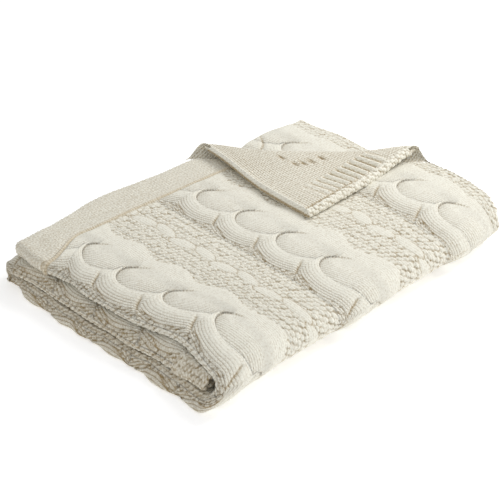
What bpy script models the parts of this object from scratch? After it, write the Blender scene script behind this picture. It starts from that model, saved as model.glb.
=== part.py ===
"""Folded cable-knit throw blanket: a stack of doubled knit layers with one turned-back corner.

Frame: metres, +Z up, origin at the centre of the underside.  +X runs across the knit columns,
from the closed lengthwise fold to the open side edges; +Y runs along the columns, from the
front fold to the hem.  The throw is folded in half lengthwise, then in three: the bottom layer
turns up at the back into the middle layer, and at the front it wraps up into the top layer.
"""

import math

import bmesh
import bpy
from mathutils import Vector

# Folded footprint
WIDTH = 0.665           # across the columns
DEPTH = 0.495           # along the columns

# Layers: each one is two plies of knit lying on each other
LAYER = 0.0214          # thickness of one doubled layer
LAYER_GAP = 0.0006      # air between two layers
LAYER_COUNT = 3

# Bands and borders
HEM_BAND = 0.062        # depth of the flat hem band at each end of the throw
LINK_SEAM = 0.006       # raised seam that links a hem band to the panel
SIDE_BORDER = 0.050     # moss-stitch border along the open side edges
EDGE_ROUND = 0.006      # rounding of the open side edges and hems
HEM_SETBACK = 0.004     # the top hem stops this far inside the back fold

# Folds
BACK_HOLLOW = 0.005     # radius of the hollow left inside the back fold
INNER_END = 0.004       # room between the hidden hem and the front fold's inside

# Turned-back corner
CORNER_LEG = 0.275      # length of the folded-over hem and side edge
CORNER_THICKNESS = 0.0145
CORNER_REST = 0.0006    # air between the turned corner and the layer under it

JOIN = 0.0003           # gap between pieces that touch
ROUND_STEPS = 8         # facets in a quarter of a fold

HEIGHT = LAYER_COUNT * LAYER + (LAYER_COUNT - 1) * LAYER_GAP
BOTTOM, MIDDLE, TOP = (i * (LAYER + LAYER_GAP) for i in range(LAYER_COUNT))

FRONT_RADIUS = HEIGHT / 2
BACK_RADIUS = LAYER + LAYER_GAP / 2
FRONT_LINE = -DEPTH / 2 + FRONT_RADIUS      # where the flat layers meet the front fold
BACK_LINE = DEPTH / 2 - BACK_RADIUS         # where the lower layers meet the back fold
HEM_END = DEPTH / 2 - HEM_SETBACK
HEM_START = HEM_END - HEM_BAND
SEAM_START = HEM_START - LINK_SEAM
INNER_HEM_END = FRONT_LINE + INNER_END + HEM_BAND
INNER_SEAM_END = INNER_HEM_END + LINK_SEAM
BORDER_START = WIDTH / 2 - SIDE_BORDER

# The corner's fold line is the vertical plane x + y = FOLD_SUM
FOLD_LEFT = WIDTH / 2 - CORNER_LEG          # x where the fold line meets the hem edge
FOLD_SUM = FOLD_LEFT + HEM_END
CORNER_BOTTOM = HEIGHT + CORNER_REST
CORNER_TIP = Vector((FOLD_LEFT, FOLD_SUM - WIDTH / 2))

KNIT_CREAM = (0.80, 0.74, 0.63)
HEM_CREAM = (0.78, 0.72, 0.61)
MOSS_CREAM = (0.76, 0.69, 0.57)
SEAM_TAN = (0.66, 0.57, 0.44)
YARN_ROUGHNESS = 0.92


def clear_scene():
    for obj in list(bpy.data.objects):
        bpy.data.objects.remove(obj, do_unlink=True)


def yarn(name, colour):
    material = bpy.data.materials.new(name)
    material.use_nodes = True
    shader = material.node_tree.nodes["Principled BSDF"]
    shader.inputs["Base Color"].default_value = (*colour, 1.0)
    shader.inputs["Roughness"].default_value = YARN_ROUGHNESS
    shader.inputs["Metallic"].default_value = 0.0
    return material


def add_object(name, mesh_data, colour):
    bmesh.ops.recalc_face_normals(mesh_data, faces=mesh_data.faces)
    mesh = bpy.data.meshes.new(name)
    mesh_data.to_mesh(mesh)
    mesh_data.free()
    mesh.materials.append(yarn(name + "_yarn", colour))
    mesh.shade_smooth()
    mesh.set_sharp_from_angle(angle=math.radians(35))
    obj = bpy.data.objects.new(name, mesh)
    bpy.context.collection.objects.link(obj)
    return obj


def prism(name, outline, place, start, end, colour):
    """Solid made by pushing a flat outline from start to end; place(u, v, t) gives its points."""
    solid = bmesh.new()
    near = [solid.verts.new(place(u, v, start)) for u, v in outline]
    far = [solid.verts.new(place(u, v, end)) for u, v in outline]
    solid.faces.new(near)
    solid.faces.new(list(reversed(far)))
    for i, corner in enumerate(near):
        following = (i + 1) % len(near)
        solid.faces.new((corner, near[following], far[following], far[i]))
    return add_object(name, solid, colour)


def along_y(u, v, t):
    return Vector((u, t, v))


def along_x(u, v, t):
    return Vector((t, u, v))


def upwards(u, v, t):
    return Vector((u, v, t))


def arc(centre, radius, first, last, steps):
    """Points on a circle from one angle to another, in degrees, both ends included."""
    angles = [math.radians(first + (last - first) * i / steps) for i in range(steps + 1)]
    return [(centre[0] + radius * math.cos(a), centre[1] + radius * math.sin(a)) for a in angles]


def closed_edge_section(low, right):
    """Cross-section of a doubled layer: half-round at the closed fold, square on the right."""
    half = LAYER / 2
    fold = arc((-WIDTH / 2 + half, low + half), half, 90, 270, 2 * ROUND_STEPS)
    return fold + [(right, low), (right, low + LAYER)]


def open_edge_section(low, left, thickness):
    """Cross-section of a side border: square on the left, rounded at the open edges."""
    right = WIDTH / 2 - EDGE_ROUND
    lower = arc((right, low + EDGE_ROUND), EDGE_ROUND, -90, 0, ROUND_STEPS // 2)
    upper = arc((right, low + thickness - EDGE_ROUND), EDGE_ROUND, 0, 90, ROUND_STEPS // 2)
    return [(left, low)] + lower + upper + [(left, low + thickness)]


def fold_section(line, centre_z, outer, inner, first, last):
    """Half-ring of a fold, seen from the side."""
    outside = arc((line, centre_z), outer, first, last, 2 * ROUND_STEPS)
    inside = arc((line, centre_z), inner, last, first, 2 * ROUND_STEPS)
    return outside + inside


def flat_strip(name, low, start, end, colour):
    """A doubled strip as wide as the knit panel, between two places along Y."""
    section = closed_edge_section(low, BORDER_START - JOIN)
    return prism(name, section, along_y, start, end, colour)


def side_strip(name, low, start, end):
    section = open_edge_section(low, BORDER_START, LAYER)
    return prism(name, section, along_y, start, end, MOSS_CREAM)


def make_lower_layers():
    flat_strip("bottom_panel", BOTTOM, FRONT_LINE + JOIN, BACK_LINE - JOIN, KNIT_CREAM)
    side_strip("bottom_side_border", BOTTOM, FRONT_LINE + JOIN, BACK_LINE - JOIN)
    flat_strip("middle_panel", MIDDLE, INNER_SEAM_END + JOIN, BACK_LINE - JOIN, KNIT_CREAM)
    side_strip("middle_side_border", MIDDLE, INNER_SEAM_END + JOIN, BACK_LINE - JOIN)
    section = closed_edge_section(MIDDLE, WIDTH / 2 - EDGE_ROUND)
    prism("inner_link_seam", section, along_y, INNER_HEM_END + JOIN, INNER_SEAM_END, SEAM_TAN)
    prism("inner_hem_band", section, along_y, FRONT_LINE + INNER_END, INNER_HEM_END, HEM_CREAM)


def make_folds():
    """The two places where the doubled throw turns round on itself."""
    front_inner = FRONT_RADIUS - LAYER
    front = fold_section(FRONT_LINE, HEIGHT / 2, FRONT_RADIUS, front_inner, 90, 270)
    prism("front_fold", front, along_x, -WIDTH / 2, BORDER_START - JOIN, KNIT_CREAM)
    prism("front_fold_border", front, along_x, BORDER_START, WIDTH / 2, MOSS_CREAM)
    back = fold_section(BACK_LINE, BACK_RADIUS, BACK_RADIUS, BACK_HOLLOW, -90, 90)
    prism("back_fold", back, along_x, -WIDTH / 2, BORDER_START - JOIN, KNIT_CREAM)
    prism("back_fold_border", back, along_x, BORDER_START, WIDTH / 2, MOSS_CREAM)


def corner_cutter():
    """Block that takes away the top layer beyond the corner's fold line."""
    reach = CORNER_LEG * 1.5
    overshoot = 0.01
    run = Vector((-1, 1, 0)).normalized()
    out = Vector((1, 1, 0)).normalized()
    middle = Vector((FOLD_SUM / 2, FOLD_SUM / 2, 0))
    outline = [(-reach, 0), (reach, 0), (reach, reach), (-reach, reach)]

    def place(u, v, t):
        return middle + run * u + out * v + Vector((0, 0, t))

    cutter = prism("corner_cutter", outline, place, TOP - overshoot, HEIGHT + overshoot, KNIT_CREAM)
    cutter.hide_render = True
    cutter.display_type = "WIRE"
    return cutter


def cut_corner(obj, cutter):
    cut = obj.modifiers.new("corner", "BOOLEAN")
    cut.operation = "DIFFERENCE"
    cut.solver = "EXACT"
    cut.object = cutter


def make_top_layer():
    cutter = corner_cutter()
    panel = flat_strip("top_panel", TOP, FRONT_LINE + JOIN, SEAM_START - JOIN, KNIT_CREAM)
    border = side_strip("top_side_border", TOP, FRONT_LINE + JOIN, SEAM_START - JOIN)
    seam = flat_strip("top_link_seam", TOP, SEAM_START, HEM_START - JOIN, SEAM_TAN)
    hem = flat_strip("top_hem_band", TOP, HEM_START, HEM_END, HEM_CREAM)
    for obj in (panel, border, seam, hem):
        cut_corner(obj, cutter)


def corner_piece(name, left, right, low, high, colour):
    """Part of the turned corner: an upright strip of its triangle, kept just short of the fold line."""
    fold = FOLD_SUM - JOIN
    right = min(right, fold - low)
    outline = [(left, low), (right, low)]
    if fold - right > low:
        outline.append((right, min(high, fold - right)))
    if fold - right < high < fold - left:
        outline.append((fold - high, high))
    outline.append((left, min(high, fold - left)))
    top = CORNER_BOTTOM + CORNER_THICKNESS
    return prism(name, outline, upwards, CORNER_BOTTOM, top, colour)


def make_turned_corner():
    """The corner lies face down, so its hem runs along -X and its side border along -Y."""
    tip_x, tip_y = CORNER_TIP
    hem_right = tip_x + HEM_BAND
    seam_right = hem_right + LINK_SEAM
    border_top = tip_y + SIDE_BORDER
    corner_piece("corner_hem_band", tip_x, hem_right, tip_y, HEM_END, HEM_CREAM)
    corner_piece("corner_link_seam", hem_right + JOIN, seam_right, tip_y, HEM_END, SEAM_TAN)
    panel_left = seam_right + JOIN
    corner_piece("corner_panel", panel_left, WIDTH / 2, border_top + JOIN, HEM_END, KNIT_CREAM)
    corner_piece("corner_side_border", panel_left, WIDTH / 2, tip_y, border_top, MOSS_CREAM)


clear_scene()
make_lower_layers()
make_folds()
make_top_layer()
make_turned_corner()
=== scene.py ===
import math

import bpy
import numpy as np
from bpy.props import FloatProperty, FloatVectorProperty, PointerProperty
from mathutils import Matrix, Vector


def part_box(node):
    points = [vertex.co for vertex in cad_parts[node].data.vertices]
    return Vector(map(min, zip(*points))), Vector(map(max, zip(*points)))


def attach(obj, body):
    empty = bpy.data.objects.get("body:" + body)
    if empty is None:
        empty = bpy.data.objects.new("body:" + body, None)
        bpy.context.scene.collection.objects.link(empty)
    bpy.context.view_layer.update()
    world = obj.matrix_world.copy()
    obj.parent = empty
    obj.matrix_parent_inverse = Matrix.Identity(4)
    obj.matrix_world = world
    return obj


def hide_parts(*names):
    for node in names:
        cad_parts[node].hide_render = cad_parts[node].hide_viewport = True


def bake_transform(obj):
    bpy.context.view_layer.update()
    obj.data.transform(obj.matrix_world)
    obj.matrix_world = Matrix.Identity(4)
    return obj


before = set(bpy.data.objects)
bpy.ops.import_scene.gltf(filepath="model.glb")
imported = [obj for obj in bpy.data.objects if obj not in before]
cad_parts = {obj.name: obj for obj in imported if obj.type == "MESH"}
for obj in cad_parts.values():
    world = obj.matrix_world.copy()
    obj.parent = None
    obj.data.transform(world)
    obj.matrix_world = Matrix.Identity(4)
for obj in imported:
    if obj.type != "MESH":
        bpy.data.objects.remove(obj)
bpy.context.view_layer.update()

bl_info = {
    "name": "Folded Cable-Knit Throw",
    "version": (1, 0, 0),
    "blender": (4, 5, 0),
    "location": "View3D > Sidebar > Throw",
    "description": "Builds a folded cable-knit throw with a turned-back corner",
    "category": "Object",
}

MM = 0.001
BASE, LIFTED, CORNER = "folded_stack", "top_layer", "turned_corner"

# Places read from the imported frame
PANEL_LOW, PANEL_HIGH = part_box("top_panel")
HEM_LOW, HEM_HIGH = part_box("top_hem_band")
CORNER_LOW, CORNER_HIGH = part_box("corner_hem_band")

LEFT_X = PANEL_LOW[0]
RIGHT_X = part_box("top_side_border")[1][0]
HEM_END = HEM_HIGH[1]
HEM_DEPTH = HEM_HIGH[1] - HEM_LOW[1]
SEAM_DEPTH = HEM_LOW[1] - PANEL_HIGH[1]
SEAM_MIDDLE = HEM_END - HEM_DEPTH - SEAM_DEPTH / 2
FRONT_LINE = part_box("front_fold")[1][1]
BACK_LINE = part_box("back_fold")[0][1]
INNER_HEM_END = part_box("inner_hem_band")[0][1]
FOLD_SUM = CORNER_LOW[0] + CORNER_HIGH[1]      # the corner's fold line is x + y = FOLD_SUM
BORDER_EDGE = RIGHT_X - 0.030                  # the cables stop here, short of the border

WIDEST = 1.55                                  # more than the sheet's flat width
PANEL_LEVEL = -0.0028                          # plain knit between the cables
JOIN_LEVEL = -0.0012                           # both sides of a join between two stretches

# The back fold is a loose loop: where along the knit it fades out, and how it opens and thins there
LOOP_SPREAD = 0.040
LOOP_OPENING = 0.0042
LOOP_THINNING = 0.0046

# How far out the knit may lie, and the last stretch over which it eases to that limit
RIGHT_REACH = (0.347, 0.011)
LEFT_REACH = (0.350, 0.006)
BACK_REACH = (0.258, 0.010)
CORNER_RIGHT_REACH = (0.346, 0.012)
CORNER_BACK_REACH = (0.256, 0.013)


# ---------------------------------------------------------------- settings

class ThrowFoldSettings(bpy.types.PropertyGroup):
    """How the throw lies in its folds."""
    top_height: FloatProperty(
        name="Top Layer Height", description="Middle height of the top layer", default=0.0558,
        unit="LENGTH")
    middle_height: FloatProperty(
        name="Middle Layer Height", default=0.0336, unit="LENGTH",
        description="Middle height of the middle layer")
    bottom_height: FloatProperty(
        name="Bottom Layer Height", default=0.0112, unit="LENGTH",
        description="Middle height of the bottom layer")
    half_layer: FloatProperty(
        name="Half Layer", description="Half the thickness of a doubled layer", default=0.0098,
        unit="LENGTH")
    ply_edge: FloatProperty(
        name="Edge Rounding", description="Radius of a ply's rounded open edge", default=0.0034,
        unit="LENGTH")
    front_arc: FloatProperty(
        name="Front Arc", description="Length of knit that goes round the front fold", default=0.094,
        unit="LENGTH")
    back_arc: FloatProperty(
        name="Back Arc", description="Length of knit that goes round the back fold", default=0.060,
        unit="LENGTH")
    back_bulge: FloatProperty(
        name="Back Bulge", description="How far the back fold's middle reaches back", default=0.0125,
        unit="LENGTH")
    fine_step: FloatProperty(
        name="Fine Step", description="Grid spacing where the knit shows", default=0.0015, unit="LENGTH")
    coarse_step: FloatProperty(
        name="Coarse Step", description="Grid spacing where the knit is hidden", default=0.0035,
        unit="LENGTH")


class ThrowKnitSettings(bpy.types.PropertyGroup):
    """The knit pattern, as it lies flat."""
    column_pitch: FloatProperty(
        name="Column Pitch", description="Distance between big cables", default=0.250, unit="LENGTH")
    first_column: FloatProperty(
        name="First Column", default=0.2475, unit="LENGTH",
        description="Place of the big cable next to the border")
    crossing_pitch: FloatProperty(
        name="Crossing Pitch", description="Distance between a cable's crossings", default=0.094,
        unit="LENGTH")
    first_crossing: FloatProperty(
        name="First Crossing", default=0.099, unit="LENGTH",
        description="Distance from hem edge to first crossing")
    cable_left: FloatProperty(
        name="Cable Left", description="Cable's reach left of its crossings", default=0.070, unit="LENGTH")
    cable_right: FloatProperty(
        name="Cable Right", description="Cable's reach right of its crossings", default=0.058,
        unit="LENGTH")
    cable_relief: FloatProperty(
        name="Cable Relief", description="How far a big cable stands out", default=0.0046, unit="LENGTH")
    crease_depth: FloatProperty(
        name="Crease Depth", description="Depth of the creases at a crossing", default=0.0038,
        unit="LENGTH")
    moss_wide: FloatProperty(
        name="Moss Width", description="Moss stitch pitch across the columns", default=0.0078,
        unit="LENGTH")
    moss_long: FloatProperty(
        name="Moss Length", description="Moss stitch pitch along the columns", default=0.0092,
        unit="LENGTH")
    moss_relief: FloatProperty(
        name="Moss Relief", description="Height of the moss stitch bumps", default=0.0030, unit="LENGTH")
    rope_half: FloatProperty(
        name="Small Cable Half Width", description="Half the width of a small cable", default=0.018,
        unit="LENGTH")
    rope_pitch: FloatProperty(
        name="Small Cable Pitch", description="Distance between its crossings", default=0.047,
        unit="LENGTH")
    rope_relief: FloatProperty(
        name="Small Cable Relief", description="How far a small cable stands out", default=0.0017,
        unit="LENGTH")
    wale: FloatProperty(
        name="Wale", description="Width of one column of stitches", default=0.0046, unit="LENGTH")
    hem_wale: FloatProperty(
        name="Hem Wale", description="Width of the hem's slanting columns", default=0.0050, unit="LENGTH")
    course: FloatProperty(
        name="Course", description="Height of one row of stitches", default=0.0038, unit="LENGTH")


class ThrowCornerSettings(bpy.types.PropertyGroup):
    """The corner turned back over the top layer."""
    leg: FloatProperty(
        name="Leg", description="Length of the turned corner's two open edges", default=0.284,
        unit="LENGTH")
    tip_drop: FloatProperty(
        name="Tip Drop", description="How far the tip reaches towards the front", default=-0.0095,
        unit="LENGTH")
    height: FloatProperty(
        name="Height", description="Height of its upper side", default=0.0806, unit="LENGTH")
    edge_radius: FloatProperty(
        name="Edge Radius", description="Radius of its rolled edges", default=0.0074, unit="LENGTH")
    fold_radius: FloatProperty(
        name="Fold Radius", description="Radius of the fold", default=0.0140, unit="LENGTH")
    ridge_depth: FloatProperty(
        name="Ridged Border", description="Width of the ridged border", default=0.066, unit="LENGTH")


class ThrowYarnSettings(bpy.types.PropertyGroup):
    """Colours of the cotton yarn, and the tan painted into its creases as shade."""
    cream: FloatVectorProperty(
        name="Cream", description="Yarn in full light", subtype="COLOR", size=3,
        default=(0.900, 0.878, 0.772), min=0, max=1)
    # Painted shade: this tan is mixed into the cream where creases and stitch gaps are, in place of the
    # shade that falls there.
    tan: FloatVectorProperty(
        name="Tan", description="Yarn in the creases", subtype="COLOR", size=3,
        default=(0.38, 0.275, 0.135), min=0, max=1)
    seam: FloatVectorProperty(
        name="Seam", description="Linking seam yarn", subtype="COLOR", size=3, default=(0.83, 0.77, 0.63),
        min=0, max=1)


class ThrowStageSettings(bpy.types.PropertyGroup):
    """Camera and light."""
    camera_place: FloatVectorProperty(
        name="Camera", description="Camera's place", subtype="TRANSLATION", size=3,
        default=(-1.0585, -1.081, 0.983))
    camera_turn: FloatProperty(
        name="Turn", description="Camera's heading, clockwise from +Y", subtype="ANGLE",
        default=math.radians(43.45))
    camera_tilt: FloatProperty(
        name="Tilt", description="Camera's tilt below the horizon", subtype="ANGLE",
        default=math.radians(32.71))
    lens: FloatProperty(
        name="Lens", description="Focal length in millimetres", default=79.2)
    key_power: FloatProperty(
        name="Key Light", description="Key light's power in watts", default=23.0)
    fill_power: FloatProperty(
        name="Fill Light", description="Fill light's power in watts", default=5.0)
    room_light: FloatProperty(
        name="Room Light", description="Strength of the even studio light", default=0.60)


# ---------------------------------------------------------------- small maths

def smooth(t):
    """Eased step: 0 up to t = 0, 1 from t = 1 on."""
    t = np.clip(t, 0.0, 1.0)
    return t * t * (3 - 2 * t)


def dome(t):
    """Round shoulder: 0 at the foot, 1 from t = 1 on."""
    t = np.clip(t, 0.0, 1.0)
    return np.sqrt(np.clip(1 - (1 - t) ** 2, 0, 1))


def smooth_curve(points, count):
    """A smooth line through a few points (Catmull-Rom), as an array of count points."""
    p = np.array(points, float)
    p = np.vstack([2 * p[0] - p[1], p, 2 * p[-1] - p[-2]])
    places = np.linspace(0, len(p) - 3 - 1e-6, count)
    i = places.astype(int)
    t = (places - i)[:, None]
    a, b, c, d = p[i], p[i + 1], p[i + 2], p[i + 3]
    return 0.5 * (2 * b + (c - a) * t + (2 * a - 5 * b + 4 * c - d) * t ** 2
                  + (3 * b - a - 3 * c + d) * t ** 3)


def nearest_on(curve, x, y):
    """Distance to a line, which side of it (+1 left of its direction), and how far along it, 0 to 1."""
    best = np.full(x.shape, 1e9)
    side = np.ones(x.shape)
    along = np.zeros(x.shape)
    for i in range(len(curve) - 1):
        ax, ay = curve[i]
        dx, dy = curve[i + 1] - curve[i]
        t = np.clip(((x - ax) * dx + (y - ay) * dy) / (dx * dx + dy * dy), 0, 1)
        gap = np.hypot(x - ax - t * dx, y - ay - t * dy)
        closer = gap < best
        best = np.where(closer, gap, best)
        turn = np.sign(dx * (y - ay) - dy * (x - ax))
        side = np.where(closer, turn, side)
        along = np.where(closer, (i + t) / (len(curve) - 1), along)
    return best, side, along


def hash_noise(i, j):
    """Fixed pseudo-random value from 0 to 1 for whole numbers i, j."""
    value = np.sin(i * 127.1 + j * 311.7) * 43758.5453
    return value - np.floor(value)


def soft_noise(x, y, size):
    """Smooth noise from -1 to 1 with features of about the given size."""
    gx, gy = x / size, y / size
    i, j = np.floor(gx), np.floor(gy)
    fx, fy = smooth(gx - i), smooth(gy - j)
    low = hash_noise(i, j) * (1 - fx) + hash_noise(i + 1, j) * fx
    high = hash_noise(i, j + 1) * (1 - fx) + hash_noise(i + 1, j + 1) * fx
    return 2 * (low * (1 - fy) + high * fy) - 1


# ---------------------------------------------------------------- knit pattern

class Relief:
    """Height, painted crease shade and stitch coordinates over a grid of places on the flat knit."""

    def __init__(self, wale, row):
        self.wale, self.row = wale, row
        self.height, self.hollow, self.ribs = np.zeros((3, *wale.shape))



# Crease lines of a big cable, in metres from a crossing's top: x across, y along (up is towards the hem)
ARCH = smooth_curve([(-0.0150, -0.0930), (-0.0300, -0.0740), (-0.0380, -0.0560), (-0.0395, -0.0400),
                     (-0.0350, -0.0220), (-0.0240, -0.0070), (-0.0090, 0.0000), (0.0040, -0.0022),
                     (0.0140, -0.0115), (0.0220, -0.0230), (0.0265, -0.0350)], 44)
NECK = smooth_curve([(-0.0160, 0.0430), (-0.0250, 0.0300), (-0.0340, 0.0190), (-0.0430, 0.0140),
                     (-0.0530, 0.0100), (-0.0640, 0.0030), (-0.0800, -0.0080)], 34)

# Where a cable's crossings pull on the reverse side of the turned corner, from its hem edge and side edge
REVERSE_MARKS = ((0.095, 0.160), (0.098, 0.128), (0.110, 0.121), (0.124, 0.114), (0.146, 0.111))


def big_cable(x, y, k, shoulder):
    """Rope of overlapping strands. x from its crossings' line, y along, one crossing a pitch.

    Gives height (-1 outside the cable), painted crease shade, stitch columns and how ribbed the knit is."""
    pitch = k.crossing_pitch
    cell = y - pitch * np.round(y / pitch)
    swing = np.cos(2 * math.pi * (cell + 0.046) / pitch)
    left = x + k.cable_left + 0.0065 * swing
    right = k.cable_right + 0.0080 * np.cos(2 * math.pi * (cell + 0.058) / pitch) - x
    side = 0.45 * dome(left / shoulder) + 0.55 * smooth(left / shoulder)
    body = side * smooth(right / 0.060)
    height = k.cable_relief * side * (0.25 + 0.75 * smooth(right / 0.085)) * smooth(right / 0.012)
    hollow = np.zeros(x.shape)
    wale = x / k.wale
    ribs = np.zeros(x.shape)
    for step in (1, 0, -1):
        local = cell - step * pitch
        # The arch, where the upper strand lies over the strand that comes from under it
        gap, side, along = nearest_on(ARCH, x, local)
        inside = side < 0
        ends = smooth((along - 0.16) / 0.40) * smooth((1 - along) / 0.20)
        depth = k.crease_depth * ends * body
        under = np.exp(-gap / 0.017)
        lip = np.clip(1 - gap / 0.006, 0, 1) ** 2
        height += np.where(inside, -depth * under, -0.55 * depth * lip)
        mark = smooth((along - 0.36) / 0.2) * smooth((1 - along) / 0.12)
        dots = 0.55 + 0.45 * np.sin(2 * math.pi * along * 0.115 / k.course)
        # Painted shade: a dotted dark line along the arch's crease, darker on its inner side.
        hollow += mark * dots * np.exp(-(gap / 0.0016) ** 2) * np.where(inside, 1.0, 0.5)
        # The neck, a groove that runs from the crossing to the cable's left side
        neck_gap, neck_side, neck_along = nearest_on(NECK, x, local)
        neck_start = np.where(y < -0.36, 0.0, 0.33)
        fade = smooth((neck_along - neck_start) / 0.22) * (y < -0.02)
        groove = np.clip(1 - neck_gap / 0.006, 0, 1) ** 1.6
        height -= k.crease_depth * fade * groove
        # Painted shade along the neck groove.
        hollow += 0.75 * fade * np.exp(-(neck_gap / 0.0017) ** 2)
        # Painted shade along the cable's left edge just below each crossing.
        foot = smooth((0.004 - local) / 0.01) * smooth((local + 0.050) / 0.02)
        hollow += 0.8 * foot * np.exp(-(left / 0.0020) ** 2)
        # The leg, a rounded and ribbed strand left of the arch
        leg = ~inside & (x < -0.004) & (local < 0.004) & (neck_side > 0) & (local > -0.098)
        roll = leg * smooth(along / 0.10) * smooth((0.66 - along) / 0.2)
        height += 0.0016 * roll * np.exp(-((gap - 0.011) / 0.012) ** 2) * body
        wale = np.where(leg, gap / k.wale, wale)
        ribs = np.where(leg, smooth((gap - 0.012) / 0.014), ribs)
        # The pillow inside the arch, ribbed where it comes out from under it
        swell = np.exp(-((x - 0.004) / 0.036) ** 2 - ((local + 0.056) / 0.028) ** 2)
        height += 0.0016 * swell
        pillow = inside & (local < 0.0) & (local > -0.105)
        stretch = smooth((0.75 - along) / 0.15) * np.exp(-gap / 0.016)
        ribs = np.where(pillow, np.maximum(ribs, 0.9 * stretch), ribs)
        lean = 0.30 * local * smooth((0.030 - x) / 0.030)
        wale = np.where(pillow, (x + lean) / k.wale, wale)
    height = np.where((left > 0) & (right > 0), height, -1.0)
    return height, hollow, wale, ribs


def small_cable(x, y, k):
    """Chain of smooth leaves that lean left and right in turn. Height, painted shade round each leaf's
    rim, and where they are.
    """
    count = np.round(y / k.rope_pitch)
    height = np.full(x.shape, -1.0)
    crease = np.zeros(x.shape)
    for step in (1, 0, -1):
        number = count + step
        sign = 1 - 2 * np.mod(number, 2)
        along = y - number * k.rope_pitch
        across = x - 0.0030 * sign - 0.16 * sign * along
        reach = np.sqrt((across / (0.62 * k.rope_half)) ** 2 + (along / (0.58 * k.rope_pitch)) ** 2)
        leaf = k.rope_relief * np.sqrt(np.clip(1 - reach ** 2, 0, 1)) - 0.0006 * along / k.rope_pitch
        on = (reach < 1) & (leaf > height)
        height = np.where(on, leaf, height)
        # Painted shade round the rim of each leaf.
        crease = np.where(on, np.exp(-((1 - reach) / 0.09) ** 2), crease)
    return height, 0.8 * crease, height > -0.5


def moss(u, v, k):
    """Round seed-like bumps in staggered columns, with small gaps between them that get painted shade."""
    drift = 0.0012 * soft_noise(u, v, 0.028)
    u = u + drift
    v = v - drift
    reach = np.full(u.shape, 9.0)
    size = np.zeros(u.shape)
    for step in (-1, 0, 1):
        column = np.floor(u / k.moss_wide) + step
        shifted = v / k.moss_long + 0.5 * np.mod(column, 2)
        seed = np.floor(shifted)
        wobble = hash_noise(column, seed) - 0.5
        tilt = hash_noise(seed + 4.0, column) - 0.5
        across = (u / k.moss_wide - column - 0.5 - 0.22 * wobble) * k.moss_wide
        along = (shifted - seed - 0.5 - 0.20 * tilt) * k.moss_long
        far = np.hypot(across, along + 0.25 * across) / (0.60 * k.moss_wide)
        size = np.where(far < reach, wobble, size)
        reach = np.minimum(reach, far)
    bump = np.sqrt(np.clip(1 - (reach / 1.12) ** 2, 0, 1))
    height = k.moss_relief * (bump * (0.95 + 0.35 * size) - 0.62)
    # Painted shade in the gaps between the bumps, varying with each bump's size.
    hollow = smooth((reach - 0.72) / 0.36) * (0.75 + 0.5 * size)
    return height, 0.9 * hollow


def knit_relief(u, v, k):
    """The panel's pattern. u runs across the columns, v along them, up towards the hem."""
    out = Relief(u / k.wale, v / k.course)
    moss_height, out.hollow = moss(u, v, k)
    out.height = PANEL_LEVEL + moss_height
    for i in range(-1, int(math.ceil(WIDEST / k.column_pitch))):
        centre = k.first_column - i * k.column_pitch
        phase = k.first_crossing + (0.019 if i <= 0 else 0.0)     # the outer cables cross further down
        x = u - centre
        near = (x > -k.cable_left - 0.010) & (x < k.cable_right + 0.010) & (u < BORDER_EDGE)
        if near.any():
            shoulder = 0.030 if i == 2 else 0.048
            height, hollow, wale, ribs = big_cable(x[near], v[near] - (HEM_END - phase), k, shoulder)
            edge = height < -0.5
            out.height[near] = np.where(edge, out.height[near], PANEL_LEVEL + height + 0.0012)
            out.hollow[near] = np.where(edge, out.hollow[near], hollow)
            out.wale[near] = wale
            out.ribs[near] = ribs
        middle = centre - k.column_pitch / 2 - (k.cable_left - k.cable_right) / 2
        x = u - middle
        near = np.abs(x) < k.rope_half
        if near.any():
            height, hollow, leaf = small_cable(x[near], v[near], k)
            out.height[near] = np.where(leaf, PANEL_LEVEL - 0.0006 + height, out.height[near])
            out.hollow[near] = np.where(leaf, hollow, out.hollow[near])
    return out


def hem_relief(u, v, k):
    """Slanting rows of small seed stitches."""
    row = (u + 0.5 * v) / k.hem_wale
    out = Relief(row, v / 0.0042)
    line = 0.5 + 0.5 * np.cos(2 * math.pi * row)
    seed = 0.5 + 0.5 * np.cos(2 * math.pi * (v / 0.0056 + 0.5 * np.floor(row + 0.5)))
    out.height = -0.0014 + 0.0006 * soft_noise(u, v, 0.02) + 0.0016 * line * (0.4 + 0.6 * seed)
    # Painted shade between the slanting rows and between the seeds.
    out.hollow = 0.42 * (1 - line) ** 1.5 * (1 - 0.6 * seed)
    return out


def inner_hem_relief(u, v, k):
    """The hidden hem, knitted in small bumps like the moss stitch."""
    out = Relief(u / k.wale, v / k.course)
    height, out.hollow = moss(u * 1.25, v * 1.25, k)
    out.height = height - 0.0008
    return out


def seam_relief(u, v, k):
    """Raised chain of linking stitches with a crease on each side."""
    out = Relief(u / k.wale, v / k.course)
    across = (v - SEAM_MIDDLE) / (SEAM_DEPTH / 2)
    stitch = 0.5 + 0.5 * np.cos(2 * math.pi * (u / 0.0048 + 0.35 * across))
    out.height = -0.0014 + 0.0030 * np.clip(1.0 - across ** 2, 0, 1) * (0.65 + 0.35 * stitch)
    # Painted shade along the creases on each side and between the linking stitches.
    out.hollow = 0.08 + 0.22 * smooth((np.abs(across) - 0.45) / 0.4) + 0.35 * (1 - stitch)
    return out


# ---------------------------------------------------------------- the folded sleeve

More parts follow.
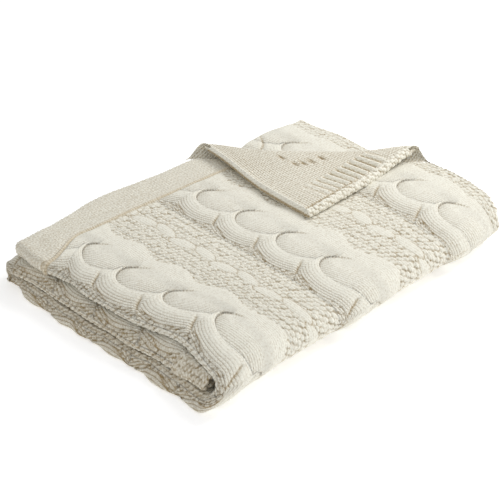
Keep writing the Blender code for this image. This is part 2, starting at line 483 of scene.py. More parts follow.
class Path:
    """Middle line of the doubled throw, from the top hem round both folds to the hidden hem."""

    def __init__(self, f):
        self.f = f
        self.top_run = HEM_END - FRONT_LINE
        self.front_end = self.top_run + f.front_arc
        self.bottom_end = self.front_end + BACK_LINE - FRONT_LINE
        self.back_end = self.bottom_end + f.back_arc
        self.length = self.back_end + BACK_LINE - INNER_HEM_END
        # Across the sleeve: where the upper ply starts round the closed edge, and where that turn ends
        self.turn_start = LEFT_X + f.half_layer + 3 * MM
        self.turn_end = self.turn_start - math.pi * f.half_layer

    def loop(self, s):
        """1 in the middle of the back fold, fading out on both sides."""
        return np.exp(-((s - (self.bottom_end + self.back_end) / 2) / LOOP_SPREAD) ** 2)

    def at(self, s):
        """Places (y, z) and outward directions (ny, nz) for distances s from the top hem."""
        f = self.f
        front_turn = math.pi * (s - self.top_run) / f.front_arc
        back_turn = math.pi * (s - self.bottom_end) / f.back_arc
        front_radius = (f.top_height - f.bottom_height) / 2
        back_radius = (f.middle_height - f.bottom_height) / 2
        stretches = [s <= self.top_run, s <= self.front_end, s <= self.bottom_end, s <= self.back_end]
        y = np.select(stretches, [HEM_END - s,
                                  FRONT_LINE - front_radius * np.sin(front_turn),
                                  FRONT_LINE + s - self.front_end,
                                  BACK_LINE + f.back_bulge * np.sin(back_turn)],
                      BACK_LINE - (s - self.back_end))
        z = np.select(stretches, [f.top_height,
                                  f.bottom_height + front_radius + front_radius * np.cos(front_turn),
                                  f.bottom_height,
                                  f.bottom_height + back_radius - back_radius * np.cos(back_turn)],
                      f.middle_height)
        z = z - LOOP_OPENING * self.loop(s) * np.cos(np.clip(back_turn, 0, math.pi))
        ny = np.select(stretches, [0.0, -np.sin(front_turn), 0.0, np.sin(back_turn)], 0.0)
        nz = np.select(stretches, [1.0, np.cos(front_turn), -1.0, -np.cos(back_turn)], 1.0)
        return y, z, ny, nz


def edge_roll(distance, radius):
    """Rounds a ply's open edge: distance from the edge, below 0 past it. Gives inset and drop."""
    turn = np.clip((radius - distance) / radius, 0, math.pi)
    inset = np.where(distance > radius, distance, radius - radius * np.sin(turn))
    past = np.clip(-distance - (math.pi - 1) * radius, 0, None)
    return inset + past, radius * (1 - np.cos(turn))


def sleeve_points(u, s, path, hem_at=None):
    """Surface of the doubled throw before relief. Gives points and outward directions.

    u runs across the sleeve, s along it. hem_at is where along it a hem's rolled edge lies."""
    f = path.f
    r = f.ply_edge
    inset, drop_right = edge_roll(RIGHT_X - u, r)
    upper_x = RIGHT_X - inset
    half = f.half_layer - LOOP_THINNING * path.loop(s)
    inset, drop_low = edge_roll(RIGHT_X - (path.turn_start + (path.turn_end - u)), r)
    low_x = RIGHT_X - inset
    turn = np.clip((path.turn_start - u) / f.half_layer, 0, math.pi)
    upper, closed_edge = u > path.turn_start, u > path.turn_end
    x = np.where(upper, upper_x, np.where(closed_edge, path.turn_start - half * np.sin(turn), low_x))
    eta = half * np.cos(turn)
    out_x = -np.sin(turn)
    out_n = np.cos(turn)
    drop = np.where(upper, drop_right, np.where(closed_edge, 0.0, drop_low))
    place = s
    if hem_at is not None:
        ahead = 1 if hem_at == 0 else -1
        inset, drop_hem = edge_roll((s - hem_at) * ahead, r)
        place = hem_at + ahead * inset
        drop = np.maximum(drop, drop_hem)
    y, z, ny, nz = path.at(place)
    points = np.stack([x - out_x * drop, y + ny * (eta - out_n * drop), z + nz * (eta - out_n * drop)], -1)
    normals = np.stack([out_x, ny * out_n, nz * out_n], -1)
    return points, normals


def top_share(s, path):
    """1 on the top layer, falling to 0 round the front fold."""
    return smooth((path.front_end - s) / path.f.front_arc)


def held_in(value, start, reach):
    """Lets a value go at most reach past start, easing in."""
    return np.where(value > start, start + reach * np.tanh((value - start) / reach), value)


def settle(points, s, path):
    """How the folded throw lies: lower layers reach further left, edges wander, one side edge bows.

    x, y and z look into p, so each step starts from what the steps before it have moved."""
    p = np.array(points)
    x, y, z = p[..., 0], p[..., 1], p[..., 2]
    top = top_share(s, path)
    middle = smooth((s - path.bottom_end) / path.f.back_arc)
    height = path.f.top_height
    # Closed edge: lower layers reach out, the stack's face is hollow, and each ply wanders
    left = smooth((-x - 0.13) / 0.18)
    reach = 0.013 + 0.015 * smooth((y + 0.22) / 0.36) - 0.003 * smooth((y - 0.16) / 0.08)
    rise = np.clip((z - 0.004) / 0.058, 0, 1)
    ease = 1 - smooth((y - 0.16) / 0.07) * middle
    p[..., 0] -= left * (1 - rise * ease) * (1 - 0.9 * top) * reach
    recess = 0.008 * smooth((0.22 - y) / 0.10) + 0.032 * np.exp(-((y + 0.135) / 0.095) ** 2)
    p[..., 0] += smooth((-x - 0.10) / 0.20) * rise * recess
    p[..., 0] += 0.003 * left * soft_noise(y + 3 * s, z * 2 + 1.7, 0.09)
    # Open side edges: the top one bows out, and its front corner is drawn in
    right = smooth((x - 0.02) / 0.30)
    bow = 0.026 * np.exp(-((y + 0.085) / 0.10) ** 2)
    p[..., 0] += top * right * bow
    corner = smooth((-y - 0.175) / 0.075) * smooth((x - 0.20) / 0.13)
    p[..., 0] -= 0.032 * corner * smooth((x - 0.24) / 0.09)
    p[..., 0] += (1 - top) * right * 0.003 * soft_noise(y, z * 3 + 5.0, 0.11)
    # Top hem: slants towards its left end, which stands up a little
    hem = top * smooth((y - 0.185) / 0.055)
    p[..., 1] += hem * (0.002 - 0.024 * smooth((-x - 0.155) / 0.13))
    p[..., 2] += 0.003 * hem * smooth((-x - 0.02) / 0.10)
    full = top * smooth((y - 0.13) / 0.10) * smooth((-x - 0.20) / 0.10)
    p[..., 2] += full * (0.006 * smooth((z - 0.050) / 0.012) - 0.002)
    p[..., 1] += 0.004 * full
    # Top seam: swings towards the front at its left end
    seam = top * np.exp(-((y - 0.175) / np.where(y > 0.175, 0.035, 0.075)) ** 2)
    p[..., 1] -= 0.036 * seam * smooth((-x - 0.235) / 0.085)
    p[..., 1] += top * 0.002 * smooth((y - 0.12) / 0.1) * soft_noise(x, 7.3 + 0 * x, 0.12)
    # Back fold and middle layer: pushed out on the right, drawn in on the left
    back = smooth((s - path.bottom_end) / 0.01) * smooth((y - 0.18) / 0.05)
    p[..., 1] += 0.014 * back * middle * smooth((x - 0.02) / 0.15)
    p[..., 1] -= 0.013 * back * smooth((-x - 0.22) / 0.10)
    p[..., 0] += 0.010 * middle * right * smooth((0.22 - y) / 0.08)
    # Hidden hem: its left end is tucked in
    tucked = smooth((s - path.length + 0.06) / 0.05) * smooth((-x - 0.24) / 0.06)
    p[..., 0] += 0.006 * tucked
    p[..., 2] = p[..., 2] + 0.10 * tucked * (path.f.middle_height - p[..., 2])
    # Front face leans in below; the middle layer rises under the turned corner
    lean = smooth((-y - 0.19) / 0.05) * smooth((0.045 - z) / 0.040)
    p[..., 1] += 0.0095 * lean
    lift = middle * middle
    p[..., 2] += 0.0022 * lift * smooth((x - 0.03) / 0.12) * smooth(y / 0.13)
    p[..., 2] += 0.0060 * lift * smooth((x + y - 0.40) / 0.12)
    # Upper side: gentle waves, lower at the closed edge and at the front
    p[..., 2] += (z / height) * 0.0026 * soft_noise(x + 2.0, y + 9.0, 0.16)
    p[..., 2] -= (z / height) * 0.003 * np.exp(-((x - LEFT_X) / 0.04) ** 2)
    p[..., 2] -= 0.004 * top * smooth((-y - 0.12) / 0.11) * smooth((z - 0.03) / 0.02)
    ripple = np.exp(-((x - 0.045) / 0.045) ** 2 - ((y - 0.245) / 0.035) ** 2)
    p[..., 2] += 0.001 * top * ripple
    # Nothing lies past the reach of its side
    p[..., 0] = held_in(p[..., 0], *RIGHT_REACH)
    p[..., 0] += 0.004 * smooth((0.020 - z) / 0.010) * left
    p[..., 0] = -held_in(-p[..., 0], *LEFT_REACH)
    p[..., 1] = held_in(p[..., 1], *BACK_REACH)
    return p


def grid_normals(points, outward):
    """Unit normals of a grid of points, turned to the side that outward points to."""
    du = np.gradient(points, axis=1)
    dv = np.gradient(points, axis=0)
    n = np.cross(du, dv)
    n /= np.maximum(np.linalg.norm(n, axis=-1, keepdims=True), 1e-12)
    facing = np.sign(np.sum(n * outward, axis=-1, keepdims=True))
    facing[facing == 0] = 1
    return n * facing


def grid_mesh(name, points, relief, keep):
    """Mesh object from a grid of points, with stitch coordinates and painted crease shade."""
    rows, columns = points.shape[:2]
    index = np.arange(rows * columns).reshape(rows, columns)
    quads = np.stack([index[:-1, :-1], index[:-1, 1:], index[1:, 1:], index[1:, :-1]], -1).reshape(-1, 4)
    quads = quads[keep.reshape(-1)[quads].all(axis=1)]
    used = np.unique(quads)
    renumber = np.full(rows * columns, -1)
    renumber[used] = np.arange(len(used))
    quads = renumber[quads]
    verts = points.reshape(-1, 3)[used]
    mesh = bpy.data.meshes.new(name)
    mesh.from_pydata(verts.tolist(), [], quads.tolist())
    stitch = np.stack([relief.wale.reshape(-1)[used], relief.row.reshape(-1)[used]], -1)
    layer = mesh.uv_layers.new(name="Stitch")
    layer.data.foreach_set("uv", stitch[quads.reshape(-1)].astype(np.float32).reshape(-1))
    for label, values in (("hollow", np.clip(relief.hollow, 0, 1)), ("ribs", relief.ribs)):
        attribute = mesh.attributes.new(label, "FLOAT", "POINT")
        attribute.data.foreach_set("value", values.reshape(-1)[used].astype(np.float32))
    mesh.shade_smooth()
    obj = bpy.data.objects.new(name, mesh)
    bpy.context.collection.objects.link(obj)
    return obj


def spans(places, steps):
    """Grid lines between places, with their own spacing in each span."""
    lines = [np.array([places[0]])]
    for start, end, step in zip(places[:-1], places[1:], steps):
        count = max(1, int(round(abs(end - start) / step)))
        lines.append(np.linspace(start, end, count + 1)[1:])
    return np.concatenate(lines)


def flattening(u, s, path):
    """How much relief is left: pressed flat between layers and on the underside."""
    f = path.f
    under = smooth((path.turn_end - 0.030 - u) / 0.030)
    on_top = smooth((path.top_run + 0.55 * f.front_arc - s) / 0.02)
    front = smooth((s - path.top_run) / 0.01) * smooth((path.front_end - s) / 0.02)
    back = smooth((s - path.bottom_end) / 0.01) * smooth((path.back_end - s) / 0.01)
    middle = smooth((s - path.back_end + 0.01) / 0.02)
    bottom = np.clip(1 - on_top - front - back - middle, 0, 1)
    share = 1 - 0.72 * bottom - 0.25 * middle * (1 - on_top)
    edge = smooth((LEFT_X + 0.035 - u) / 0.02)
    side = smooth((LEFT_X + 0.012 - u) / 0.01)
    return np.clip((np.maximum(share, edge) + 0.15 * side) * (1 - 0.75 * under), 0.2, 1.2)


def sheet_mesh(name, points, relief, u, s, keep):
    """A grid's mesh, with the size and area that the knit it covers has when it lies flat."""
    cells = np.abs(np.diff(u, axis=1)[:-1] * np.diff(s, axis=0)[:, :-1])
    cells = cells * (keep[:-1, :-1] & keep[1:, 1:] & keep[:-1, 1:] & keep[1:, :-1])
    obj = grid_mesh(name, points, relief, keep)
    obj["cut"] = (float(np.ptp(u)), float(np.ptp(s)))
    obj["cut_area"] = float(cells.sum())
    return obj


def sleeve_piece(name, s_lines, pattern, path, hem_at=None, joined_at=None):
    """One stretch of the doubled throw, all the way round from open edge to open edge.

    joined_at is where along it the next stretch starts: the relief fades there on both sides."""
    f = path.f
    far = RIGHT_X + (math.pi - 1) * f.ply_edge + 0.012
    low_far = path.turn_end - (far - path.turn_start)
    u_lines = spans([far, path.turn_end - 0.05, low_far], [f.fine_step, f.coarse_step])
    u, s = np.meshgrid(u_lines, s_lines)
    base, outward = sleeve_points(u, s, path, hem_at)
    base = settle(base, s, path)
    normals = grid_normals(base, outward)
    below = smooth((s - path.top_run) / f.front_arc)
    slide = below * (0.011 - 0.0085 * smooth((s - path.bottom_end) / f.back_arc))
    stretched = s - 0.026 * smooth((s - 0.39) / 0.13)
    relief = pattern(u + slide, HEM_END - stretched)
    rise = relief.height * flattening(u, s, path)
    side = smooth((LEFT_X + 0.020 - u) / 0.020) * smooth((u - path.turn_end + 0.020) / 0.015)
    rise = rise + 0.0018 * side * below + 0.0008 * side
    # Painted shade on the stack's closed left face, stronger on the layers below the top one.
    relief.hollow = relief.hollow + side * (0.10 + 0.22 * below)
    if joined_at is not None:
        away = smooth(np.abs(s - joined_at) / 0.006)
        rise = rise * away + JOIN_LEVEL * (1 - away)
    points = base + normals * rise[..., None]
    points[..., 2] = np.maximum(points[..., 2], 0.0)
    keep = np.full(u.shape, True)
    if s_lines[0] < path.top_run * 0.98:        # the top layer ends at the corner's fold line
        keep = points[..., 0] + points[..., 1] < FOLD_SUM + 0.005
    return sheet_mesh(name, points, relief, u, s, keep)


# ---------------------------------------------------------------- the turned corner

def hem_thinning(q):
    """The rolled hem edge of the turned corner gets thinner towards the fold."""
    return 1 - 0.35 * smooth((q - 0.06) / 0.16)


def corner_surface(p, q, c):
    """Upper side of the turned corner. p is the distance from its hem edge, q from its side edge.

    Gives points, outward directions, and how far past the fold line each place is."""
    tip_x, tip_y = CORNER_LOW[0], CORNER_LOW[1] + c.tip_drop
    inset_p, drop_p = edge_roll(p, c.edge_radius)
    inset_q, drop_q = edge_roll(q, c.edge_radius)
    drop = np.maximum(drop_p * hem_thinning(q), drop_q)
    past = (inset_p + inset_q - c.leg) / math.sqrt(2)
    level = c.height + 0.0085 * smooth((p - 0.17) / 0.11) * smooth((0.10 - q) / 0.10)
    level = level + 0.0030 * smooth((q - 0.12) / 0.12) * smooth((0.08 - p) / 0.08)
    level = level - 0.0035 * smooth((0.12 - p - q) / 0.12)
    sag = 0.0040 * np.exp(-((past + 0.085) / 0.050) ** 2)
    x = tip_x + inset_p + 0.025 * smooth((q - 0.05) / 0.24) * smooth((0.12 - p) / 0.12)
    y = tip_y + inset_q + 0.014 * smooth(p / c.leg) * smooth((0.12 - q) / 0.12)
    turn = np.clip(past / c.fold_radius, 0, 1.2 * math.pi)
    back = np.where(past > 0, (past - c.fold_radius * np.sin(turn)) / math.sqrt(2), 0.0)
    x = x - back
    y = y - back
    z = level - sag - drop - c.fold_radius * (1 - np.cos(turn))
    wave = 0.0015 * soft_noise(x, y, 0.07)
    flat = smooth(-past / 0.03)
    out_z = np.where(drop > c.edge_radius, -1.0, 1.0) * np.cos(np.where(past > 0, turn, 0.0))
    out_e = np.where(past > 0, np.sin(turn), 0.0)
    out_x = out_e - np.where(p < c.edge_radius, 1.0, 0.0) * (past < 0)
    out_y = out_e - np.where(q < c.edge_radius, 1.0, 0.0) * (past < 0)
    x = held_in(x, *CORNER_RIGHT_REACH)
    y = held_in(y, *CORNER_BACK_REACH)
    points = np.stack([x, y, z + wave * flat], -1)
    return points, np.stack([out_x, out_y, out_z], -1), past


def corner_relief(p, q, k, c):
    """Reverse side of the knit: rice-like rows by the hem, ridges by the side edge, cable marks."""
    out = Relief((p + 0.5 * q) / k.wale, q / k.course)
    row = p / 0.0050
    grain = 0.5 + 0.5 * np.cos(2 * math.pi * row)
    seed = 0.5 + 0.5 * np.cos(2 * math.pi * (q / 0.0060 + 0.5 * np.floor(row)))
    rice = 0.0018 * (0.45 * grain + 0.55 * grain * seed)
    band = smooth((q - 0.012) / 0.004) * smooth((c.ridge_depth - q) / 0.004)
    size = smooth((p - 0.02) / 0.10) * smooth((0.240 - p) / 0.05)
    ridge = np.cos(2 * math.pi * (p / 0.0165 + 0.45 * (q - 0.03) / 0.05))
    share = band * size
    out.height = (1 - share) * rice + share * 0.0030 * ridge
    # Painted shade between the rice rows, and in the troughs between the ridges.
    out.hollow = (1 - share) * (1 - grain) ** 1.5 * (1 - 0.6 * seed)
    out.hollow += 0.95 * share * smooth((-ridge - 0.30) / 0.5)
    roll = q < 0.010
    moss_height, moss_hollow = moss(p, q, k)
    out.height = np.where(roll, moss_height + 0.0012, out.height)
    out.hollow = np.where(roll, moss_hollow, out.hollow)
    # Painted shade in the slit between the two plies.
    slit = np.exp(-((q - 0.0115) / 0.0018) ** 2) * smooth((0.16 - p) / 0.05) * (p > 0.004)
    out.height -= 0.0035 * slit
    out.hollow += slit
    # The cable marks are dented and get painted shade.
    for mark_p, mark_q in REVERSE_MARKS:
        mark = np.exp(-((p - mark_p) / 0.0035) ** 2 - ((q - mark_q) / 0.009) ** 2)
        out.height -= 0.0035 * mark
        out.hollow += 0.9 * mark
    # Painted light: the crease shade is taken off the rounded bead along the hem edge, so that it shows as
    # a lit rim.
    rim = np.exp(-((p - 0.0035) / 0.0036) ** 2) * (q > 0.004)
    out.height += 0.0014 * rim
    out.hollow = np.clip(out.hollow * (1 - rim), 0, 1)
    # Painted shadow: the underside of the rolled hem edge gets the full crease tan, for the shade below
    # the edge.
    out.hollow = np.maximum(out.hollow, smooth((-p - 0.0005) / 0.003))
    return out


def corner_facing(p, q, base, past, k, c):
    """Underside of the turned corner: the panel's right side, with its hem band and border."""
    thin = hem_thinning(q)
    drop = np.maximum(edge_roll(p, c.edge_radius)[1] * thin, edge_roll(q, c.edge_radius)[1])
    thick = 2 * c.edge_radius * (1 - (1 - thin) * smooth((0.03 - p) / 0.02))
    points = np.array(base)
    points[..., 2] += 2 * drop - thick + 0.0025 * smooth((past + 0.030) / 0.020)
    u, v = FOLD_SUM - base[..., 1], FOLD_SUM - base[..., 0]
    relief = knit_relief(u, v, k)
    hem = hem_relief(u, v, k)
    on_hem = v > HEM_END - HEM_DEPTH
    relief.height = np.where(on_hem, hem.height, relief.height)
    relief.hollow = np.where(on_hem, hem.hollow, relief.hollow)
    relief.wale = np.where(on_hem, hem.wale, relief.wale)
    relief.ribs = np.where(on_hem, 0.0, relief.ribs)
    seam = np.exp(-((v - SEAM_MIDDLE) / 0.0028) ** 2)
    relief.hollow = np.clip(relief.hollow + 0.5 * seam, 0, 1)
    points[..., 2] -= 0.4 * (relief.height - PANEL_LEVEL) * smooth((c.leg - 0.01 - p - q) / 0.02)
    return points, relief


# ---------------------------------------------------------------- yarn materials

class Value:
    """A shader socket that does maths: an expression on values adds its Math nodes."""

    def __init__(self, shader, socket):
        self.shader = shader
        self.socket = socket

    def math(self, operation, *others):
        return self.shader.add("ShaderNodeMath", {"operation": operation}, [self, *others]).out()

    def __add__(self, other):
        return self.math("ADD", other)

    def __sub__(self, other):
        return self.math("SUBTRACT", other)

    def __mul__(self, other):
        return self.math("MULTIPLY", other)

    def __pow__(self, other):
        return self.math("POWER", other)

    def __rsub__(self, other):
        return (self * -1.0).math("ADD", other)

    def clamped(self):
        return self.math("MAXIMUM", 0.0).math("MINIMUM", 1.0)


class AddedNode:
    def __init__(self, shader, node):
        self.shader = shader
        self.node = node

    def out(self, name=0):
        return Value(self.shader, self.node.outputs[name])


class Shader:
    """Builds one material's nodes."""

    def __init__(self, name):
        self.material = bpy.data.materials.new(name)
        self.material.use_nodes = True
        self.tree = self.material.node_tree
        self.surface = self.tree.nodes["Principled BSDF"]

    def add(self, kind, settings=None, values=None):
        node = self.tree.nodes.new(kind)
        for key, value in (settings or {}).items():
            setattr(node, key, value)
        pairs = values.items() if isinstance(values, dict) else enumerate(values or [])
        for key, value in pairs:
            self.feed(node.inputs[key], value)
        return AddedNode(self, node)

    def feed(self, socket, value):
        if isinstance(value, Value):
            self.tree.links.new(value.socket, socket)
        else:
            socket.default_value = value

    def mix(self, factor, first, second):
        settings = {"data_type": "RGBA", "blend_type": "MIX"}
        return self.add("ShaderNodeMix", settings, {0: factor, 6: first, 7: second}).out(2)


def rgba(colour):
    return (*colour, 1.0)


def yarn_material(name, colour, stitch_depth=0.0012, seeds=False):
    """Cotton yarn: V-shaped or seed stitches, fibres, and painted shade in a warmer tone in the creases.
    """
    y = bpy.context.scene.throw_yarn
    shader = Shader(name)
    coords = shader.add("ShaderNodeUVMap", {"uv_map": "Stitch"}).out()
    parts = shader.add("ShaderNodeSeparateXYZ", {}, [coords])
    place = shader.add("ShaderNodeTexCoord").out("Object")
    wander = shader.add("ShaderNodeTexNoise", {}, {"Vector": place, "Scale": 60.0, "Detail": 2.0}).out()
    wale = parts.out(0) + wander * 0.45
    row = parts.out(1) + wander * 0.60
    half = (wale.math("FRACT") - 0.5).math("ABSOLUTE") * 2.0
    channel = half ** 3.0
    if seeds:
        offset = (row.math("FLOOR") * 0.5).math("FRACT")
        bead = ((wale + offset).math("FRACT") * math.pi).math("SINE")
        stitch = bead * (row.math("FRACT") * math.pi).math("SINE")
    else:
        leg = ((row - half * 0.9).math("FRACT") * math.pi).math("SINE")
        stitch = (leg * 0.55 + 0.45) * (1.0 - channel)
    fibre = shader.add("ShaderNodeTexNoise", {}, {"Vector": place, "Scale": 330.0, "Detail": 4.0,
                                                  "Roughness": 0.7}).out()
    # The mesh's painted crease shade.
    crease = shader.add("ShaderNodeAttribute", {"attribute_name": "hollow"}).out("Fac")
    ribs = shader.add("ShaderNodeAttribute", {"attribute_name": "ribs"}).out("Fac")
    relief = stitch * (ribs * 0.6 + 0.40) + fibre * 0.6
    bump = shader.add("ShaderNodeBump", {}, {"Strength": 1.0, "Distance": stitch_depth, "Height": relief})
    shader.feed(shader.surface.inputs["Normal"], bump.out())
    # Painted shade in the gaps between stitches, stronger where the knit is ribbed.
    gaps = (1.0 - stitch) ** 1.6 * (ribs * 0.50 + 0.24)
    patch = shader.add("ShaderNodeTexNoise", {}, {"Vector": place, "Scale": 9.0, "Detail": 3.0}).out()
    fleck = (fibre - 0.5) * 1.6
    # How far the colour goes to the tan: painted shade from creases and stitch gaps, plus the yarn's own
    # random fibre flecks and patches.
    depth = (crease * 0.85 + gaps + fleck + (patch - 0.5) * 0.16).clamped()
    shader.feed(shader.surface.inputs["Base Color"], shader.mix(depth, rgba(colour), rgba(y.tan)))
    for part, value in (("Roughness", 0.92), ("Specular IOR Level", 0.25), ("Sheen Weight", 0.2),
                        ("Sheen Roughness", 0.6)):
        shader.surface.inputs[part].default_value = value
    return shader.material


# ---------------------------------------------------------------- operators

def main_settings():
    scene = bpy.context.scene
    return scene.throw_fold, scene.throw_knit, scene.throw_yarn


def lines_between(start, end, step):
    return np.linspace(start, end, max(2, int(round(abs(end - start) / step)) + 1))


def panel_pattern(k):
    return lambda u, v: knit_relief(u, v, k)


def finish_piece(obj, material, body, replaced):
    obj.data.materials.append(material)
    if body:
        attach(obj, body)
    if replaced:
        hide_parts(*replaced)
    return obj


def bend_at_front(obj):
    """Bakes the object's place into its mesh."""
    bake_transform(obj)


class THROW_OT_lower_layers(bpy.types.Operator):
    """Make the bottom and middle layers and the back fold that joins them"""
    bl_idname = "throw.lower_layers"
    bl_label = "Lower Layers"

    def execute(self, context):
        f, k, y = main_settings()
        path = Path(f)
        pattern = panel_pattern(k)
        knit = yarn_material("lower_knit_yarn", y.cream)
        hidden_step = f.fine_step * 1.5
        seam_at = path.length - HEM_DEPTH - SEAM_DEPTH
        for stretch, start, end, step, joined_at, border in (
                ("bottom", path.front_end, path.bottom_end, hidden_step, None, "bottom_side_border"),
                ("back_fold", path.bottom_end, path.back_end, f.fine_step, None, "back_fold_border"),
                ("middle", path.back_end, seam_at, hidden_step, seam_at, "middle_side_border")):
            obj = sleeve_piece(stretch + "_knit", lines_between(start, end, step), pattern, path,
                               joined_at=joined_at)
            panel = stretch if stretch == "back_fold" else stretch + "_panel"
            finish_piece(obj, knit, BASE, [panel, border])
        hem = yarn_material("inner_hem_yarn", y.cream, seeds=True)
        last = path.length + (math.pi - 1) * f.ply_edge + 0.01
        s_lines = lines_between(seam_at, last, hidden_step)
        obj = sleeve_piece("inner_hem_knit", s_lines, lambda u, v: inner_hem_relief(u, v, k), path,
                           path.length, joined_at=seam_at)
        finish_piece(obj, hem, BASE, ["inner_hem_band", "inner_link_seam"])
        return {"FINISHED"}


class THROW_OT_front_fold(bpy.types.Operator):
    """Make the fold at the front, where the bottom layer wraps up into the top one"""
    bl_idname = "throw.front_fold"
    bl_label = "Front Fold"

    def execute(self, context):
        f, k, y = main_settings()
        path = Path(f)
        s_lines = lines_between(path.top_run, path.front_end, f.fine_step)
        obj = sleeve_piece("front_fold_knit", s_lines, panel_pattern(k), path)
        bend_at_front(obj)
        finish_piece(obj, yarn_material("front_fold_yarn", y.cream), None,
                     ["front_fold", "front_fold_border"])
        return {"FINISHED"}


class THROW_OT_top_layer(bpy.types.Operator):
    """Make the top layer: panel, linking seam and hem band"""
    bl_idname = "throw.top_layer"
    bl_label = "Top Layer"

    def execute(self, context):
        f, k, y = main_settings()
        path = Path(f)
        s_lines = lines_between(HEM_DEPTH + SEAM_DEPTH, path.top_run, f.fine_step)
        obj = sleeve_piece("top_knit", s_lines, panel_pattern(k), path, joined_at=HEM_DEPTH + SEAM_DEPTH)
        bend_at_front(obj)
        finish_piece(obj, yarn_material("top_knit_yarn", y.cream), None,
                     ["top_panel", "top_side_border"])
        tuck = 2.2 * MM
        s_lines = lines_between(HEM_DEPTH - tuck, HEM_DEPTH + SEAM_DEPTH + tuck, f.fine_step / 2)
        obj = sleeve_piece("top_seam_chain", s_lines, lambda u, v: seam_relief(u, v, k), path)
        finish_piece(obj, yarn_material("seam_yarn", y.seam), LIFTED,
                     ["top_link_seam"])
        first = -((math.pi - 1) * f.ply_edge + 0.012)
        s_lines = lines_between(first, HEM_DEPTH, f.fine_step)
        obj = sleeve_piece("top_hem_knit", s_lines, lambda u, v: hem_relief(u, v, k), path, 0,
                           joined_at=HEM_DEPTH)
        finish_piece(obj, yarn_material("hem_yarn", y.cream, seeds=True), LIFTED,
                     ["top_hem_band"])
        return {"FINISHED"}


class THROW_OT_turned_corner(bpy.types.Operator):
    """Make the corner that is turned back over the top layer"""
    bl_idname = "throw.turned_corner"
    bl_label = "Turned Corner"

    def execute(self, context):
        f, k, y = main_settings()
        c = context.scene.throw_corner
        # Painted light: the turned corner gets a copy of the cream made 8% lighter, for the brighter light
        # that falls on it.
        yarn = yarn_material("corner_lit_yarn", [min(1.0, 1.08 * part) for part in y.cream])
        edge = -0.9 * c.edge_radius
        p_lines = spans([edge, 0.03, c.leg + 0.055], [0.0012, f.fine_step])
        p, q = np.meshgrid(p_lines, p_lines)
        base, outward, past = corner_surface(p, q, c)
        normals = grid_normals(base, outward)
        relief = corner_relief(p, q, k, c)
        points = base + normals * relief.height[..., None]
        roll = math.pi * c.fold_radius
        # The back runs to halfway round the fold, a little short of its two ends
        kept = (past < roll / 2) & ((past < -0.008) | ((p > 0.004) & (q > 0.004)))
        obj = sheet_mesh("corner_back_knit", points, relief, p, q, kept)
        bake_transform(obj)
        finish_piece(obj, yarn, None, ["corner_panel", "corner_side_border", "corner_link_seam",
                                       "corner_hem_band"])
        # A strip goes on round the fold to the top layer
        beyond = (past > roll / 2 - 2 * f.fine_step) & (past < roll * 1.02) & (p > 0.005) & (q > 0.005)
        obj = sheet_mesh("corner_fold_knit", points, relief, p, q, beyond)
        fold_length = 1.41 * c.leg
        obj["cut"] = (obj["cut_area"] / fold_length, fold_length)
        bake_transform(obj)
        finish_piece(obj, yarn, None, [])
        points, relief = corner_facing(p, q, base, past, k, c)
        obj = sheet_mesh("corner_face_knit", points, relief, p, q, past < -0.001)
        finish_piece(obj, yarn_material("corner_face_yarn", y.cream), CORNER, [])
        return {"FINISHED"}


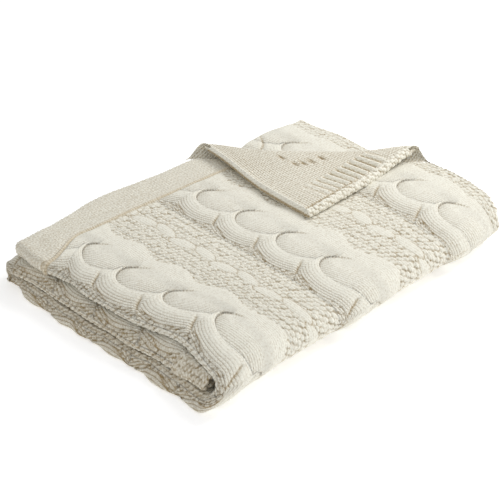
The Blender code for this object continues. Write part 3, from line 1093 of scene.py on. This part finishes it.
class THROW_OT_stage(bpy.types.Operator):
    """Set the floor, lights and camera"""
    bl_idname = "throw.stage"
    bl_label = "Stage"

    def execute(self, context):
        st = context.scene.throw_stage
        bpy.ops.mesh.primitive_plane_add(size=30, location=(0, 0, 0))
        floor = context.object
        floor.name = "studio_floor"
        shader = Shader("floor_paper")
        shader.surface.inputs["Base Color"].default_value = (0.93, 0.93, 0.93, 1)
        shader.surface.inputs["Roughness"].default_value = 0.9
        shader.surface.inputs["Emission Color"].default_value = (1, 1, 1, 1)
        shader.surface.inputs["Emission Strength"].default_value = 0.35
        floor.data.materials.append(shader.material)
        world = bpy.data.worlds.new("studio")
        context.scene.world = world
        world.use_nodes = True
        background = world.node_tree.nodes["Background"]
        background.inputs["Color"].default_value = (1, 1, 1, 1)
        background.inputs["Strength"].default_value = st.room_light
        self.area_light("key", (1.5, -0.35, 1.5), st.key_power, 0.9)
        self.area_light("fill", (-0.3, -1.8, 1.5), st.fill_power, 1.5)
        camera = bpy.data.cameras.new("camera")
        camera.lens = st.lens
        camera.sensor_width = 36.0
        obj = bpy.data.objects.new("camera", camera)
        context.collection.objects.link(obj)
        obj.location = st.camera_place
        obj.rotation_euler = (math.pi / 2 - st.camera_tilt, 0, -st.camera_turn)
        context.scene.camera = obj
        context.scene.view_settings.view_transform = "Standard"
        return {"FINISHED"}

    @staticmethod
    def area_light(name, place, power, size):
        light = bpy.data.lights.new(name, "AREA")
        light.energy = power
        light.size = size
        obj = bpy.data.objects.new(name, light)
        bpy.context.collection.objects.link(obj)
        obj.location = place
        aim = Vector((0, 0, 0.04)) - Vector(place)
        obj.rotation_euler = aim.to_track_quat("-Z", "Y").to_euler()


class THROW_PT_panel(bpy.types.Panel):
    bl_idname = "THROW_PT_panel"
    bl_label = "Folded Throw"
    bl_space_type = "VIEW_3D"
    bl_region_type = "UI"
    bl_category = "Throw"

    def draw(self, context):
        for operator in OPERATORS:
            self.layout.operator(operator.bl_idname)


OPERATORS = (THROW_OT_lower_layers, THROW_OT_front_fold, THROW_OT_top_layer, THROW_OT_turned_corner,
             THROW_OT_stage)
SETTINGS = {"throw_fold": ThrowFoldSettings, "throw_knit": ThrowKnitSettings,
            "throw_corner": ThrowCornerSettings, "throw_yarn": ThrowYarnSettings,
            "throw_stage": ThrowStageSettings}


def register():
    for group in (*SETTINGS.values(), *OPERATORS, THROW_PT_panel):
        bpy.utils.register_class(group)
    for name, group in SETTINGS.items():
        setattr(bpy.types.Scene, name, PointerProperty(type=group))


def unregister():
    for name in SETTINGS:
        delattr(bpy.types.Scene, name)
    for group in reversed((*SETTINGS.values(), *OPERATORS, THROW_PT_panel)):
        bpy.utils.unregister_class(group)


def main():
    register()
    bpy.ops.throw.lower_layers()
    bpy.ops.throw.front_fold()
    bpy.ops.throw.top_layer()
    bpy.ops.throw.turned_corner()
    bpy.ops.throw.stage()


if __name__ == "__main__":
    main()
